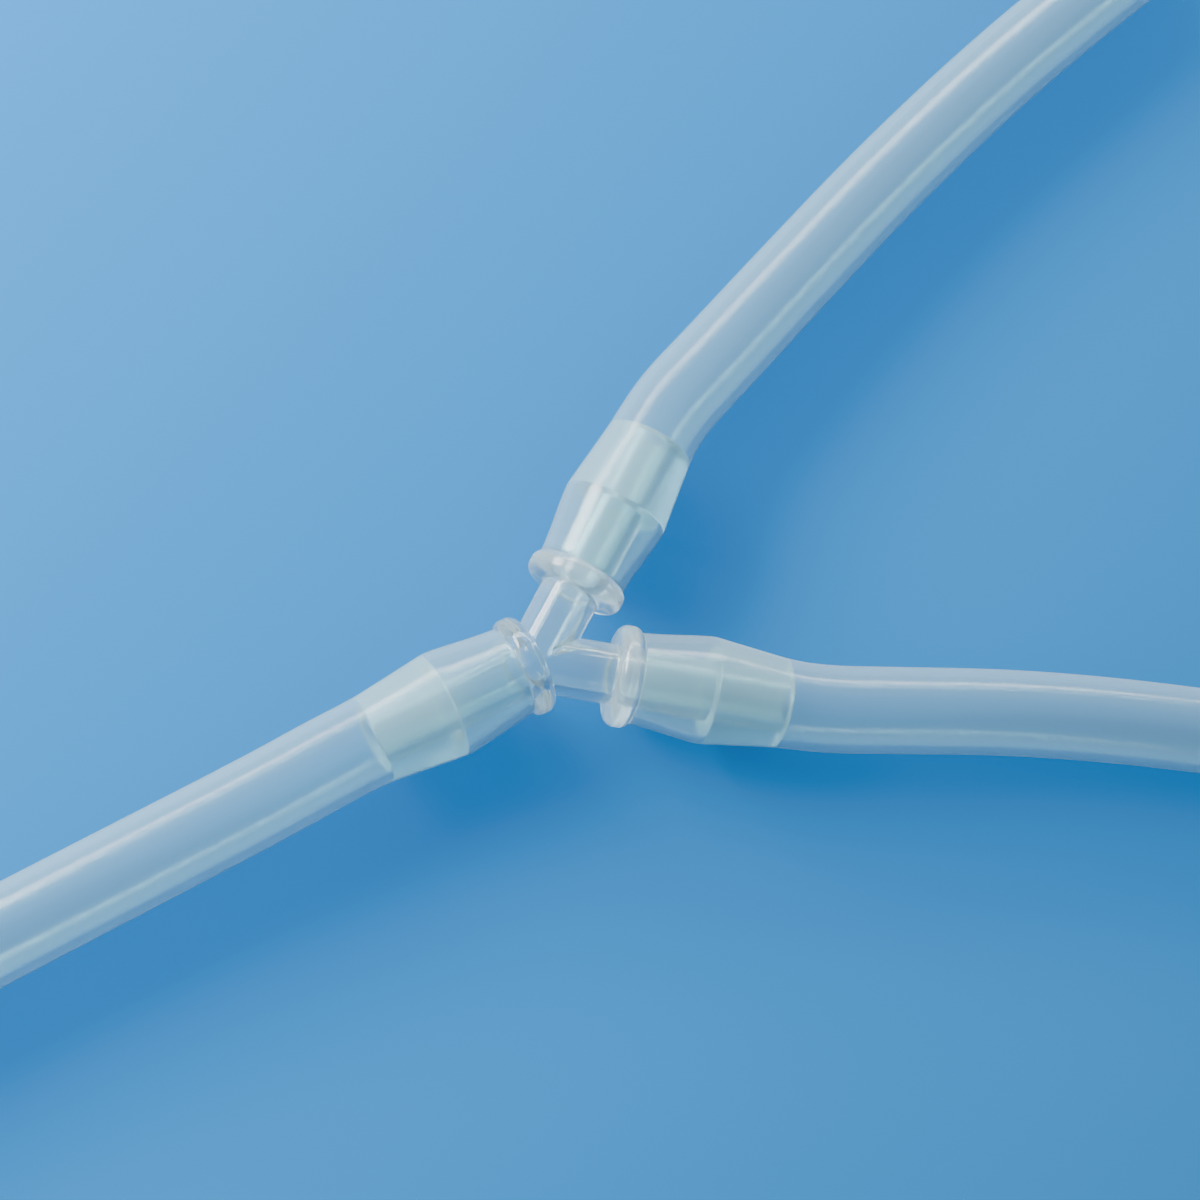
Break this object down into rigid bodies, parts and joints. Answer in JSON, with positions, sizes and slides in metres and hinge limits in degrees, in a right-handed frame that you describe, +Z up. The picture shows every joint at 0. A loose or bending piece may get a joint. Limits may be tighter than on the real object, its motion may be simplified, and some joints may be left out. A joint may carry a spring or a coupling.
{
  "type": "tubing y connector",
  "caption": "Moulded hollow Y fitting with a stop flange and a long barb on each leg, its soft clear tubes pushed on and lying free.",
  "frame": {"origin": "on the surface the part lies on, under the middle of the connector's box", "axes": "+X from the stem towards the branches, along the connector's plane of symmetry; +Z up from the surface; the left branch is on the +Y side"},
  "size_m": [0.2243, 0.1275, 0.0123],
  "materials": {
    "clear_polypropylene": "glossy, clear where it is thin and milky where it is thick",
    "soft_silicone": "satin, milky clear"
  },
  "bodies": {
    "root": {"y_connector": "clear_polypropylene", "stem_tube": "soft_silicone", "left_branch_tube": "soft_silicone", "right_branch_tube": "soft_silicone"}
  },
  "joints": []
}
